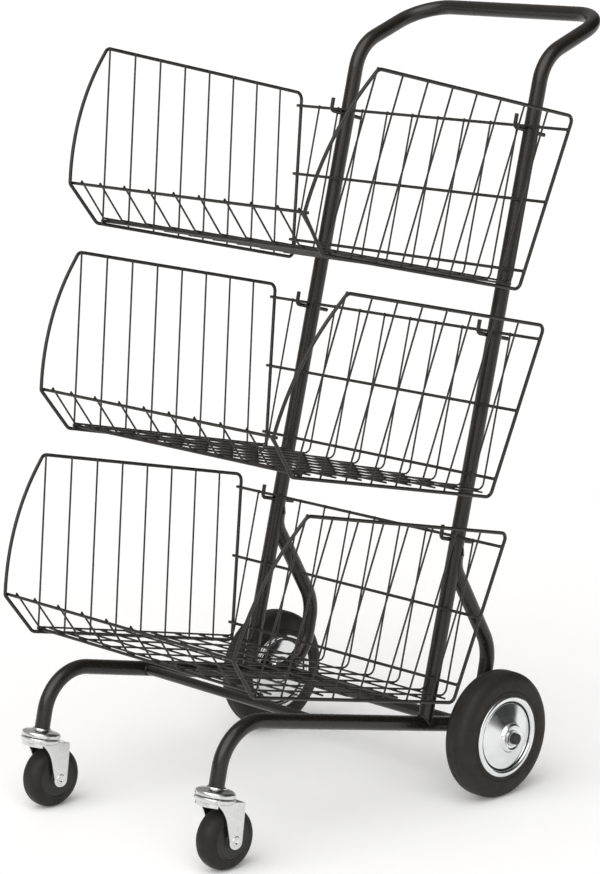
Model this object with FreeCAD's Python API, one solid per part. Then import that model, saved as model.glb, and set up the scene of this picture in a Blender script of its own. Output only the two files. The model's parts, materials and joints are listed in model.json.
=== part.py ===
import FreeCAD, Part
import math
import os

# Mail cart: three wire baskets hung on a bent tube frame, two rear wheels and two front casters.
# Sizes are in millimetres and degrees. The frame is drawn square to its base rails, with the rail
# centre lines at height 0 and the feet of the uprights at depth 0: +Y points to the rear, where the
# handle is, +X to the left of the person pushing. The last step leans the whole cart back until all
# four wheels stand on the floor.

# Clearances
RUN_GAP = 0.3          # between pieces that move past each other
WELD_GAP = 0.05        # between pieces that are welded together or pressed on
SHAFT_GAP = 0.05       # radial play of a wheel on its shaft
FACE_GAP = 0.15        # side play of a wheel between its collar and its cap

# Tube frame
TUBE_D = 19.0
TUBE_WALL = 1.5
BEND_R = 57.0          # centre-line radius of the frame bends
FRAME_W = 320.0        # between the centre lines of the two sides
UPRIGHT_LEAN = 1.5     # rearwards, from square to the base rails
HANDLE_OVER = 87.0     # handle bend over the top hanging rail
HANDLE_ANGLE = 33.5    # rise of the handle arms over the base rails
HANDLE_ARM = 130.0     # handle bend to crossbar
HANDLE_CORNER_R = 50.0
LEG_AHEAD = 337.0      # front legs ahead of the uprights
LEG_STRAIGHT = 23.0    # straight end of a front leg under its bend
RISER_BEHIND = 97.5    # rear risers behind the uprights
RISER_STRAIGHT = 19.4  # straight stretch of a riser between its bends
STRUT_UNDER = 38.0     # elbow at the strut's top under the lowest hanging rail
STRUT_IN = 3.0         # strut's end behind the centre line of the upright that it is coped round
STRUT_END = 3.0        # straight end over the elbow
STRUT_BEND_R = 30.0    # elbow
CROSS_BAR_D = 12.0
CROSS_BAR_AHEAD = 184.0

# Rear axle and wheels
AXLE_D = 12.0
AXLE_TUBE_WALL = 1.95
AXLE_SEAT_ANGLE = 52.5  # place of the axle tube under the rear bend
SPACER_L = 13.3        # collar between the frame and a wheel
WHEEL_D = 160.0
TYRE_W = 36.0
TYRE_SHOULDER_R = 14.0
TYRE_BORE_D = 92.0
RIM_EDGE = 5.5         # rolled edge of a wheel disc over the tyre's bore
DISC_T = 2.0           # sheet of the wheel discs
DISC_RECESS = 6.0      # tyre's side in to the valley of the disc
BOSS_WALL = 8.0        # boss of a disc round the hub
HUB_WALL = 2.2
HUB_OUT = 11.0         # outer end of the hub past the tyre's side
HUB_IN = 3.0           # inner end of the hub past the tyre's side
BUSH_WALL = 1.7
BUSH_L = 14.0
AXLE_CAP_WALL = 1.0
AXLE_CAP_L = 7.0

# Front casters
CASTER_D = 76.2
CASTER_W = 30.0
CASTER_CROWN = 11.5    # rounding of the tread's shoulders
TREAD_T = 12.5
CORE_WALL = 2.4
CASTER_BUSH_D = 14.0
CASTER_TRAIL = 25.5    # wheel axle behind the swivel axis
CASTER_AXLE_D = 8.0
CASTER_HEAD_D = 49.0   # swivel cups
CUP_H = 8.5            # top cup
CUP_WALL = 1.6
CUP_SLOPE = 4.8        # top edge of the cup in from its side
RACE_GAP = 1.2         # open slit between the swivel cups
RACE_IN = 7.5          # ball track in from the cups' side
CROWN_H = 7.0          # fork crown ring
CROWN_SLOPE = 3.2      # lower edge of the crown in from its side
FORK_T = 2.4
FORK_ROOM = 1.8        # tread to fork leg
FORK_RISE = 4.4        # top of the fork plate over the base of the crown
FORK_HEADROOM = 3.5    # tread to the base of the crown
FORK_TIP_R = 10.0
FORK_AHEAD = 17.0      # leg root ahead of the swivel axis
FORK_BEHIND = 31.0     # leg root behind the swivel axis
STEM_D = 11.0
KING_PIN_D = 8.0
KING_PIN_HEAD_D = 13.6
BALL_D = 5.0
BALL_SPACE = 1.9       # between neighbouring balls
RIVET_HEAD_D = 13.0
RIVET_HEAD_H = 2.2

# Hooks and baskets
TIERS = ("lower", "middle", "top")
TIER_SIDES = (1, 1, -1)  # side that each basket is pushed to on its hooks
HANG_SHIFT = 7.0       # how far it is pushed
BASKET_CLEAR = 35.5    # lowest basket's floor over the base rails
TIER_GAP = 38.7        # rims of one basket to the floor of the next
HOOK_D = 5.0
HOOK_THROAT = 18.5     # upright to the hook's pin
HOOK_TIP = 12.0        # pin over the centre of the hanging rail
HOOK_TAIL = 16.0       # rod end behind the upright
HOOK_BEND_R = 5.0
RIM_WIRE_D = 4.4
RAIL_WIRE_D = 3.8
THIN_WIRE_D = 2.4
BASKET_TOP_W = 474.0   # between the rims' centre lines at the top
BASKET_FLOOR_W = 400.0
BASKET_H = 216.5       # floor to the top of the rims, centre lines
BASKET_DEPTH = 343.0   # hanging rail to the front of the floor
RIM_RISE = 17.0        # rims over the hanging rail
RIM_SETBACK = 5.0      # top front corner behind the front of the floor
LIP_AHEAD = 46.0       # lip ahead of the front of the floor
LIP_RISE = 42.0        # lip over the floor
FRONT_KNEE_DROP = 88.0  # where the front edge turns upright, under the top of the rim
FRONT_STRAIGHT = 2.1   # straight stretch between the front curve and the next corner
RIM_CORNER_R = 9.0
LIP_CORNER_R = 5.0
BACK_FOOT_R = 8.0
MIDDLE_RAIL_DROP = 90.0  # middle rail of the back under the hanging rail
LOW_RAIL_RISE = 23.0   # low rail of the back over the floor
RAIL_LAP = 3.0         # rail ends past the rims
SIDE_WIRES = 8
SIDE_WIRE_BACK = 39.0  # last side wire ahead of the hanging rail
SIDE_WIRE_FRONT = 4.5  # first side wire ahead of the floor rail
SIDE_WIRE_END = 1.5    # wire ends past the rim's centre line
LONG_WIRES = 8         # between the hooks, with one more at each side
LONG_WIRE_PAST = 32.0  # outermost long wires past the hooks
WIRE_BEND_R = 5.0
BACK_BEND_R = 9.0
LIP_WIRE_END = 2.5     # wire ends past the lip rail
BACK_WIRE_END = 2.5    # wire ends over the hanging rail
LIP_RAIL_IN = 2.3      # lip rail down the lip from its corner
LIP_RAIL_LAP = 1.0     # its ends past the rims
FLOOR_RAIL_IN = 11.0   # floor rail behind the front of the floor

# Heights and the uprights' lean
TUBE_R = TUBE_D / 2
SIDE_X = FRAME_W / 2
LEAN = math.radians(UPRIGHT_LEAN)
BASKET_FLOOR_Z = RIM_RISE - BASKET_H
TIER_FIRST_H = BASKET_CLEAR - BASKET_FLOOR_Z    # rail centre line to the lowest hanging rail
TIER_PITCH = BASKET_H + TIER_GAP
UPRIGHT_H = TIER_FIRST_H + TIER_PITCH * (len(TIERS) - 1) + HANDLE_OVER
LEG_DROP = BEND_R + LEG_STRAIGHT
HANG_OFFSET = TUBE_R + RAIL_WIRE_D / 2 + RUN_GAP
HOOK_DROP = (HOOK_D + RAIL_WIRE_D) / 2 + RUN_GAP

# Rear axle and wheels, from the axle outwards
AXLE_TUBE_D = AXLE_D + 2 * (WELD_GAP + AXLE_TUBE_WALL)
SEAT = math.radians(AXLE_SEAT_ANGLE)
SEAT_R = BEND_R + TUBE_R + AXLE_TUBE_D / 2 + WELD_GAP
AXLE_Y = RISER_BEHIND - BEND_R + SEAT_R * math.cos(SEAT)
AXLE_Z = BEND_R - SEAT_R * math.sin(SEAT)
BUSH_BORE = AXLE_D + 2 * SHAFT_GAP
BUSH_D = BUSH_BORE + 2 * BUSH_WALL
HUB_BORE = BUSH_D + 2 * WELD_GAP
HUB_D = HUB_BORE + 2 * HUB_WALL
BOSS_D = HUB_D + 2 * BOSS_WALL
AXLE_TUBE_HALF = SIDE_X + TUBE_R
SPACER_START = AXLE_TUBE_HALF + WELD_GAP
HUB_INNER_X = SPACER_START + SPACER_L + FACE_GAP
WHEEL_X = HUB_INNER_X + HUB_IN + TYRE_W / 2
HUB_OUTER_X = WHEEL_X + TYRE_W / 2 + HUB_OUT
CAP_START = HUB_OUTER_X + FACE_GAP
AXLE_END = CAP_START + AXLE_CAP_L - AXLE_CAP_WALL

# Casters, from the leg's end down
CUP_TOP = -LEG_DROP - WELD_GAP
CUP_BASE = CUP_TOP - CUP_H
CROWN_TOP = CUP_BASE - RACE_GAP
CROWN_BASE = CROWN_TOP - CROWN_H
PLATE_TOP = CROWN_BASE + FORK_RISE
CASTER_Y = CASTER_TRAIL - LEG_AHEAD
CASTER_Z = CROWN_BASE - FORK_HEADROOM - CASTER_D / 2
HEAD_R = CASTER_HEAD_D / 2
RACE_R = HEAD_R - RACE_IN
RACE_HALF = BALL_D / 2 + RUN_GAP
RACE_DEEP = RACE_HALF - RACE_GAP / 2
FORK_W = CASTER_W + 2 * (FORK_ROOM + FORK_T)
FORK_INSIDE = CASTER_W / 2 + FORK_ROOM

# The rake that stands both wheel pairs on the floor
WHEEL_RUN = AXLE_Y - CASTER_Y
WHEEL_FALL = AXLE_Z - CASTER_Z
RAKE = math.atan2(WHEEL_FALL, WHEEL_RUN) - math.asin(
    (WHEEL_D - CASTER_D) / 2 / math.hypot(WHEEL_RUN, WHEEL_FALL))


def vec(x, y, z):
    return FreeCAD.Vector(x, y, z)


X_AXIS = vec(1, 0, 0)
Y_AXIS = vec(0, 1, 0)
Z_AXIS = vec(0, 0, 1)
UP_TUBE = vec(0, math.sin(LEAN), math.cos(LEAN))    # along an upright
AHEAD = vec(0, -math.cos(LEAN), math.sin(LEAN))     # square to the uprights, towards the front


def on_upright(side, height):
    """Point on an upright's centre line at a height over the base rails."""
    return vec(side * SIDE_X, height * math.tan(LEAN), height)


def leaned(point):
    """A point of the square frame after the cart is leaned back by its rake."""
    y = point.y * math.cos(RAKE) + point.z * math.sin(RAKE)
    z = point.z * math.cos(RAKE) - point.y * math.sin(RAKE)
    return vec(point.x, y, z)


# The handle's crossbar, and the middle of the cart's footprint
ARM_ANGLE = math.radians(HANDLE_ANGLE)
ARM = vec(0, math.cos(ARM_ANGLE), math.sin(ARM_ANGLE)) * HANDLE_ARM
CROSSBAR = on_upright(0, UPRIGHT_H) + ARM
FLOOR_Z = leaned(vec(0, AXLE_Y, AXLE_Z)).z - WHEEL_D / 2
FRONT_Y = leaned(vec(0, CASTER_Y, CASTER_Z)).y - CASTER_D / 2
REAR_Y = leaned(CROSSBAR).y + TUBE_R
ORIGIN = vec(0, (FRONT_Y + REAR_Y) / 2, FLOOR_Z)

# The strut leaves the knee bend of a riser along the tangent that meets its elbow on the upright
KNEE_CENTRE = vec(0, RISER_BEHIND - BEND_R, BEND_R + RISER_STRAIGHT)
ELBOW_H = TIER_FIRST_H - STRUT_UNDER
STRUT_REACH = on_upright(0, ELBOW_H) - AHEAD * STRUT_IN - KNEE_CENTRE
STRUT_ANGLE = math.atan2(STRUT_REACH.z, STRUT_REACH.y) - math.acos(BEND_R / STRUT_REACH.Length)
KNEE_H = KNEE_CENTRE.z + BEND_R * math.tan(STRUT_ANGLE / 2)


def stand(shape):
    """Leans a shape back with the cart and sets the cart's middle on the origin."""
    shape = shape.copy()
    shape.rotate(vec(0, 0, 0), X_AXIS, -math.degrees(RAKE))
    shape.translate(ORIGIN * -1)
    return shape


def corner_cut(before, corner, after, radius):
    """Length that a rounded corner takes off each of its two sides."""
    return radius / math.tan((before - corner).getAngle(after - corner) / 2)


def bent_path(points, radii):
    """Edges of a polyline whose inner corners are rounded, one radius for each corner."""
    edges = []
    start = points[0]
    for i, radius in enumerate(radii, 1):
        cut = corner_cut(points[i - 1], points[i], points[i + 1], radius)
        before = (points[i - 1] - points[i]).normalize()
        after = (points[i + 1] - points[i]).normalize()
        centre = points[i] + (before + after).normalize() * math.hypot(radius, cut)
        middle = centre + (points[i] - centre).normalize() * radius
        enter = points[i] + before * cut
        leave = points[i] + after * cut
        edges.append(Part.LineSegment(start, enter).toShape())
        edges.append(Part.Arc(enter, middle, leave).toShape())
        start = leave
    edges.append(Part.LineSegment(start, points[-1]).toShape())
    return edges


def rod(points, diameter, radii=()):
    """Round rod along a polyline with rounded corners."""
    path = Part.Wire(bent_path(points, radii))
    ring = Part.Wire(Part.makeCircle(diameter / 2, points[0], points[1] - points[0]))
    return path.makePipeShell([ring], True)


def tube(points, diameter, wall, radii=()):
    """Hollow tube along a polyline with rounded corners."""
    return rod(points, diameter, radii).cut(rod(points, diameter - 2 * wall, radii))


def loop(corners, diameter, radii):
    """Closed ring of wire through rounded corners, joined at the middle of its last side."""
    seam = (corners[-1] + corners[0]) / 2
    return rod([seam] + corners + [seam], diameter, radii)


def bar(start, end, diameter):
    """Straight round bar between two points."""
    return Part.makeCylinder(diameter / 2, (end - start).Length, start, end - start)


def turned_x(profile, middle):
    """Solid turned about the X direction from (x, radius) corners, with its middle at a point."""
    corners = [vec(x, 0, r) for x, r in profile]
    face = Part.Face(Part.makePolygon(corners + corners[:1]))
    solid = face.revolve(vec(0, 0, 0), X_AXIS, 360)
    solid.translate(middle)
    return solid


def turned_z(profile, foot):
    """Solid turned about the Z direction from (radius, z) corners, with its foot at a point."""
    corners = [vec(r, 0, z) for r, z in profile]
    face = Part.Face(Part.makePolygon(corners + corners[:1]))
    solid = face.revolve(vec(0, 0, 0), Z_AXIS, 360)
    solid.translate(foot)
    return solid


def tread_ring(middle, diameter, width, bore, shoulder):
    """Rubber ring about the X direction with rounded shoulders."""
    half = width / 2
    corners = [(-half, bore / 2), (half, bore / 2), (half, diameter / 2), (-half, diameter / 2)]
    ring = turned_x(corners, middle)
    circles = [edge for edge in ring.Edges if isinstance(edge.Curve, Part.Circle)]
    outer = max(edge.Curve.Radius for edge in circles)
    return ring.makeFillet(shoulder, [edge for edge in circles if edge.Curve.Radius == outer])


def group(shapes):
    return Part.makeCompound(shapes)


def tier_height(tier):
    return TIER_FIRST_H + tier * TIER_PITCH


def hook_axis_point(side, tier):
    """Where a hook rod crosses the centre line of its upright."""
    return on_upright(side, tier_height(tier)) - UP_TUBE * HOOK_DROP


def handle_upright_tube():
    """Both uprights and the handle, bent from one tube, coped on the rails and drilled for the hooks."""
    points = []
    for side, order in ((1, 1), (-1, -1)):
        run = [on_upright(side, 0), on_upright(side, UPRIGHT_H), CROSSBAR + X_AXIS * (side * SIDE_X)]
        points += run[::order]
    radii = (BEND_R, HANDLE_CORNER_R, HANDLE_CORNER_R, BEND_R)
    shape = tube(points, TUBE_D, TUBE_WALL, radii)
    cuts = []
    for side in (1, -1):
        foot = on_upright(side, 0)
        cuts.append(bar(foot - Y_AXIS * TUBE_D, foot + Y_AXIS * TUBE_D, TUBE_D + 2 * WELD_GAP))
        for tier in range(len(TIERS)):
            middle = hook_axis_point(side, tier)
            cuts.append(bar(middle + AHEAD * TUBE_D, middle - AHEAD * TUBE_D, HOOK_D + 2 * WELD_GAP))
    return shape.cut(cuts)


def base_tube(side):
    """Front leg, base rail, rear riser and strut of one side, bent from one tube."""
    x = side * SIDE_X
    knee = vec(x, RISER_BEHIND, KNEE_H)
    elbow = on_upright(side, ELBOW_H) - AHEAD * STRUT_IN
    end = elbow + UP_TUBE * (corner_cut(knee, elbow, elbow + UP_TUBE, STRUT_BEND_R) + STRUT_END)
    points = [
        vec(x, -LEG_AHEAD, -LEG_DROP),
        vec(x, -LEG_AHEAD, 0),
        vec(x, RISER_BEHIND, 0),
        knee,
        elbow,
        end,
    ]
    shape = tube(points, TUBE_D, TUBE_WALL, (BEND_R, BEND_R, BEND_R, STRUT_BEND_R))
    upright = bar(on_upright(side, KNEE_H), on_upright(side, end.z + TUBE_D), TUBE_D + 2 * WELD_GAP)
    return shape.cut(upright)


def front_cross_bar():
    """Bar between the base rails, its ends coped round them."""
    ends = [vec(side * SIDE_X, -CROSS_BAR_AHEAD, 0) for side in (-1, 1)]
    shape = bar(ends[0], ends[1], CROSS_BAR_D)
    rails = [bar(end - Y_AXIS * TUBE_D, end + Y_AXIS * TUBE_D, TUBE_D + 2 * WELD_GAP) for end in ends]
    return shape.cut(rails)


def axle_point(x):
    return vec(x, AXLE_Y, AXLE_Z)


def sleeve(start, end, diameter, bore):
    """Straight round tube between two points."""
    return bar(start, end, diameter).cut(bar(start, end, bore))


def axle_tube():
    """Sleeve under the two rear bends that carries the axle."""
    return sleeve(axle_point(-AXLE_TUBE_HALF), axle_point(AXLE_TUBE_HALF), AXLE_TUBE_D,
                  AXLE_D + 2 * WELD_GAP)


def axle():
    return bar(axle_point(-AXLE_END), axle_point(AXLE_END), AXLE_D)


def wheel_spacers():
    """Collars that keep the wheels off the frame."""
    collars = []
    for side in (-1, 1):
        start = axle_point(side * SPACER_START)
        end = axle_point(side * (SPACER_START + SPACER_L))
        collars.append(sleeve(start, end, HUB_D, AXLE_D + 2 * WELD_GAP))
    return group(collars)


def axle_caps():
    """Push-on caps that hold the wheels on the axle."""
    caps = []
    for side in (-1, 1):
        start = axle_point(side * CAP_START)
        end = axle_point(side * (CAP_START + AXLE_CAP_L))
        cap = bar(start, end, AXLE_D + 2 * AXLE_CAP_WALL)
        edges = [edge for edge in cap.Edges if edge.Closed and edge.CenterOfMass.isEqual(end, WELD_GAP)]
        cap = cap.makeFillet(AXLE_CAP_WALL, edges)
        inside = bar(start, axle_point(side * (AXLE_END + WELD_GAP)), AXLE_D + 2 * WELD_GAP)
        caps.append(cap.cut(inside))
    return group(caps)


def wheel_tyre(side):
    """Solid rubber tyre."""
    return tread_ring(axle_point(side * WHEEL_X), WHEEL_D, TYRE_W, TYRE_BORE_D, TYRE_SHOULDER_R)


def wheel_disc(side, face):
    """Pressed disc: collar on the hub, boss, dished web, rim flange in the tyre and rolled edge."""
    half = TYRE_W / 2
    out = half + (HUB_OUT if face == side else HUB_IN)
    seat = TYRE_BORE_D / 2 - WELD_GAP
    valley = half - DISC_RECESS
    boss = BOSS_D / 2
    collar = HUB_D / 2 + WELD_GAP
    edge = TYRE_BORE_D / 2 + RIM_EDGE
    rim = half + WELD_GAP
    profile = [
        (out, collar),
        (out, boss - DISC_T),
        (out - DISC_T, boss),
        (out - 2 * DISC_T, boss + DISC_T),
        (valley, seat - 2 * DISC_T),
        (valley, seat - DISC_T),
        (rim, seat - DISC_T),
        (rim + DISC_T, seat),
        (rim + DISC_T, edge - DISC_T),
        (rim + DISC_T / 2, edge),
        (rim, edge),
        (rim, seat),
        (valley - DISC_T, seat),
        (valley - DISC_T, seat - 2 * DISC_T),
        (out - 3 * DISC_T, boss + DISC_T),
        (out - 3 * DISC_T, collar),
    ]
    return turned_x([(face * x, r) for x, r in profile], axle_point(side * WHEEL_X))


def wheel_hub(side):
    """Plain tube through both discs that holds the bushes."""
    return sleeve(axle_point(side * HUB_INNER_X), axle_point(side * HUB_OUTER_X), HUB_D, HUB_BORE)


def wheel_bushes(side):
    """Two plastic sleeves in the ends of the hub, which turn on the axle."""
    bushes = []
    for start, step in ((HUB_INNER_X, BUSH_L), (HUB_OUTER_X, -BUSH_L)):
        bushes.append(sleeve(axle_point(side * start), axle_point(side * (start + step)), BUSH_D, BUSH_BORE))
    return group(bushes)


def swivel_point(side, z):
    return vec(side * SIDE_X, -LEG_AHEAD, z)


def caster_socket(side):
    """Sleeve pressed into the straight end of a front leg for the caster's stem."""
    return sleeve(swivel_point(side, -LEG_DROP), swivel_point(side, LEG_STRAIGHT - LEG_DROP),
                  TUBE_D - 2 * (TUBE_WALL + WELD_GAP), STEM_D + 2 * WELD_GAP)


def caster_stem(side):
    """Stem in the leg and, below it, the king pin that the fork turns on, with its riveted head."""
    pin = KING_PIN_D / 2
    head = KING_PIN_HEAD_D / 2
    top = LEG_STRAIGHT - LEG_DROP - WELD_GAP
    shoulder = CUP_TOP - CUP_WALL
    head_top = CROWN_BASE - RUN_GAP
    head_base = head_top - RIVET_HEAD_H
    profile = [
        (0, top), (STEM_D / 2, top), (STEM_D / 2, shoulder), (pin, shoulder), (pin, head_top),
        (head, head_top), (head - RIVET_HEAD_H, head_base), (0, head_base),
    ]
    return turned_z(profile, swivel_point(side, 0))


def caster_cup(side):
    """Upper swivel cup, fixed under the leg, hollow over the ball track."""
    stem = STEM_D / 2 + WELD_GAP
    pin = KING_PIN_D / 2 + RUN_GAP
    shoulder = CUP_H - CUP_WALL - WELD_GAP
    chamfer = CUP_WALL / 2
    profile = [
        (stem, CUP_H), (HEAD_R - CUP_SLOPE, CUP_H), (HEAD_R, CUP_H / 2), (HEAD_R, chamfer),
        (HEAD_R - chamfer, 0), (RACE_R + RACE_HALF, 0), (RACE_R + RACE_HALF, RACE_DEEP),
        (RACE_R - RACE_HALF, RACE_DEEP), (RACE_R - RACE_HALF, 0), (pin, 0), (pin, shoulder), (stem, shoulder),
    ]
    return turned_z(profile, swivel_point(side, CUP_BASE))


def caster_balls(side):
    """Ball ring between the swivel cups."""
    middle = swivel_point(side, CROWN_TOP + RACE_GAP / 2)
    count = int(2 * math.pi * RACE_R / (BALL_D + BALL_SPACE))
    balls = []
    for i in range(count):
        angle = 2 * math.pi * i / count
        reach = vec(math.cos(angle), math.sin(angle), 0) * RACE_R
        balls.append(Part.makeSphere(BALL_D / 2, middle + reach))
    return group(balls)


def fork_leg(tip):
    """Tapered leg from the crown down to its round tip, drilled for the axle."""
    front = vec(0, -LEG_AHEAD - FORK_AHEAD, PLATE_TOP)
    back = vec(0, -LEG_AHEAD + FORK_BEHIND, PLATE_TOP)
    outline = [front, back, tip + Y_AXIS * FORK_TIP_R, tip - Y_AXIS * FORK_TIP_R]
    leg = Part.Face(Part.makePolygon(outline + outline[:1])).extrude(X_AXIS * FORK_T)
    leg = leg.fuse(Part.makeCylinder(FORK_TIP_R, FORK_T, tip, X_AXIS))
    return leg.cut(Part.makeCylinder(CASTER_AXLE_D / 2 + WELD_GAP, FORK_T, tip, X_AXIS))


def caster_fork(side):
    """Crown ring with the lower ball track, plate round it and two tapered legs, pressed in one piece."""
    bore = KING_PIN_D / 2 + SHAFT_GAP
    chamfer = CUP_WALL / 2
    floor = CROWN_H - RACE_DEEP
    crown = turned_z([
        (bore, 0), (HEAD_R - CROWN_SLOPE, 0), (HEAD_R, CROWN_H / 2), (HEAD_R, CROWN_H - chamfer),
        (HEAD_R - chamfer, CROWN_H), (RACE_R + RACE_HALF, CROWN_H), (RACE_R + RACE_HALF, floor),
        (RACE_R - RACE_HALF, floor), (RACE_R - RACE_HALF, CROWN_H), (bore, CROWN_H),
    ], swivel_point(side, CROWN_BASE))
    foot = swivel_point(side, PLATE_TOP - FORK_T)
    plate = Part.makeBox(FORK_W, FORK_AHEAD + FORK_BEHIND, FORK_T, foot - vec(FORK_W / 2, FORK_AHEAD, 0))
    plate = plate.cut(Part.makeCylinder(HEAD_R - CROWN_SLOPE, FORK_T, foot))
    legs = []
    for start in (-FORK_W / 2, FORK_W / 2 - FORK_T):
        leg = fork_leg(vec(0, CASTER_Y, CASTER_Z))
        leg.translate(X_AXIS * (side * SIDE_X + start))
        legs.append(leg)
    return crown.fuse([plate] + legs).removeSplitter()


def caster_point(side, x=0.0):
    return vec(side * SIDE_X + x, CASTER_Y, CASTER_Z)


def caster_axle(side):
    """Rivet through the fork legs, with a head on each side."""
    half = FORK_W / 2 + WELD_GAP
    head = RIVET_HEAD_D / 2
    shank = CASTER_AXLE_D / 2
    chamfer = RIVET_HEAD_H / 2
    tip = half + RIVET_HEAD_H
    profile = [
        (-tip, 0), (-tip, head - chamfer), (-tip + chamfer, head), (-half, head), (-half, shank),
        (half, shank), (half, head), (tip - chamfer, head), (tip, head - chamfer), (tip, 0),
    ]
    return turned_x(profile, caster_point(side))


def caster_tread(side):
    """Rubber tread with a rounded crown."""
    return tread_ring(caster_point(side), CASTER_D, CASTER_W, CASTER_D - 2 * TREAD_T, CASTER_CROWN)


def caster_core(side):
    """Plastic wheel core: solid web between rim and hub."""
    half = CASTER_W / 2
    rim = CASTER_D / 2 - TREAD_T - WELD_GAP
    hub = CASTER_BUSH_D / 2 + WELD_GAP
    hub_half = FORK_INSIDE - 2 * RUN_GAP
    web = half - CORE_WALL
    profile = []
    for face in (-1, 1):
        run = [
            (face * hub_half, hub), (face * hub_half, hub + CORE_WALL), (face * web, hub + CORE_WALL),
            (face * web, rim - CORE_WALL), (face * half, rim - CORE_WALL), (face * half, rim),
        ]
        profile += run[::-face]
    return turned_x(profile, caster_point(side))


def caster_bush(side):
    """Steel sleeve in the wheel core, which turns on the rivet."""
    half = FORK_INSIDE - RUN_GAP
    return sleeve(caster_point(side, -half), caster_point(side, half), CASTER_BUSH_D,
                  CASTER_AXLE_D + 2 * SHAFT_GAP)


def hook_rods(tier):
    """Pair of rods through the uprights, bent up in front to hold one basket's hanging rail."""
    rods = []
    for side in (-1, 1):
        middle = hook_axis_point(side, tier)
        corner = middle + AHEAD * (TUBE_R + HOOK_THROAT + HOOK_D / 2)
        tail = middle - AHEAD * (TUBE_R + HOOK_TAIL)
        rods.append(rod([tail, corner, corner + UP_TUBE * (HOOK_DROP + HOOK_TIP)], HOOK_D, (HOOK_BEND_R,)))
    return group(rods)


# A basket is drawn with the middle of its hanging rail at the origin
LAP = (RIM_WIRE_D + RAIL_WIRE_D) / 2 + WELD_GAP             # rim to a rail that crosses it
STACK = (RAIL_WIRE_D + THIN_WIRE_D) / 2 + WELD_GAP          # rail to a thin wire that crosses it
NEST = (RIM_WIRE_D + THIN_WIRE_D) / 2 + WELD_GAP            # rim to a side wire that crosses it
FLOOR_WIRE_Z = BASKET_FLOOR_Z + LAP + STACK                 # long wires along the floor
CROSS_WIRE_Z = FLOOR_WIRE_Z - THIN_WIRE_D - WELD_GAP        # wires across the floor, under them
FIRST_WIRE = BASKET_DEPTH - FLOOR_RAIL_IN + SIDE_WIRE_FRONT  # first side wire ahead of the hanging rail
WIRE_PITCH = (FIRST_WIRE - SIDE_WIRE_BACK) / (SIDE_WIRES - 1)
FLARE = (BASKET_TOP_W - BASKET_FLOOR_W) / 2 / BASKET_H
LIP_DEPTH = BASKET_DEPTH + LIP_AHEAD
LIP_CORNER = vec(0, -LIP_DEPTH, BASKET_FLOOR_Z + LIP_RISE)
LIP_FOOT = vec(0, -BASKET_DEPTH, BASKET_FLOOR_Z)
LIP_DOWN = (LIP_FOOT - LIP_CORNER).normalize()              # down the lip, to the rear
LIP_INWARD = vec(0, -LIP_DOWN.z, LIP_DOWN.y)


def half_width(z):
    return BASKET_FLOOR_W / 2 + (z - BASKET_FLOOR_Z) * FLARE


def back_point(z, offset):
    """Point of the leaned back at a height, ahead of the hanging rail's plane by an offset."""
    return vec(0, (z - offset * math.sin(LEAN)) * math.tan(LEAN) - offset * math.cos(LEAN), z)


def front_curve_radius(top, knee, lip):
    """Radius of the front edge's curve, as large as its two sides leave room for."""
    room_over = (top[1] - knee).Length - corner_cut(top[0], top[1], knee, RIM_CORNER_R)
    room_under = (lip[0] - knee).Length - corner_cut(knee, lip[0], lip[1], LIP_CORNER_R)
    cut = min(room_over, room_under) - FRONT_STRAIGHT
    return cut / corner_cut(top[1], knee, lip[0], 1)


def basket_rim(side):
    """Closed ring of heavy wire round one flared side."""
    outline = [
        back_point(RIM_RISE, -LAP),
        vec(0, RIM_SETBACK - BASKET_DEPTH, RIM_RISE),
        vec(0, -LIP_DEPTH, RIM_RISE - FRONT_KNEE_DROP),
        LIP_CORNER,
        LIP_FOOT,
        back_point(BASKET_FLOOR_Z, -LAP),
    ]
    corners = [p + X_AXIS * (side * half_width(p.z)) for p in outline]
    front_curve = front_curve_radius(corners[:2], corners[2], corners[3:5])
    radii = [RIM_CORNER_R, RIM_CORNER_R, front_curve, LIP_CORNER_R, RIM_CORNER_R, BACK_FOOT_R]
    return loop(corners, RIM_WIRE_D, radii)


def basket_side_wires():
    """Upright thin wires inside both rims."""
    inset = NEST * math.hypot(1, FLARE)
    top = RIM_RISE + SIDE_WIRE_END
    base = BASKET_FLOOR_Z - SIDE_WIRE_END
    wires = []
    for side in (-1, 1):
        for i in range(SIDE_WIRES):
            y = i * WIRE_PITCH - FIRST_WIRE
            ends = [vec(side * (half_width(z) - inset), y, z) for z in (base, top)]
            wires.append(bar(ends[0], ends[1], THIN_WIRE_D))
    return group(wires)


def basket_floor_wires():
    """Thin wires across the floor, halfway between the side wires."""
    reach = X_AXIS * half_width(CROSS_WIRE_Z)
    wires = []
    for i in range(SIDE_WIRES):
        middle = vec(0, (i + 0.5) * WIRE_PITCH - FIRST_WIRE, CROSS_WIRE_Z)
        wires.append(bar(middle - reach, middle + reach, THIN_WIRE_D))
    return group(wires)


def long_wire_places():
    """Sideways places of the long wires: an even row up to the hooks and one more wire at each side."""
    reach = SIDE_X - HANG_SHIFT + (HOOK_D + THIN_WIRE_D) / 2 + RUN_GAP
    pitch = 2 * reach / (LONG_WIRES - 1)
    outermost = SIDE_X + LONG_WIRE_PAST
    return [-outermost] + [i * pitch - reach for i in range(LONG_WIRES)] + [outermost]


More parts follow.
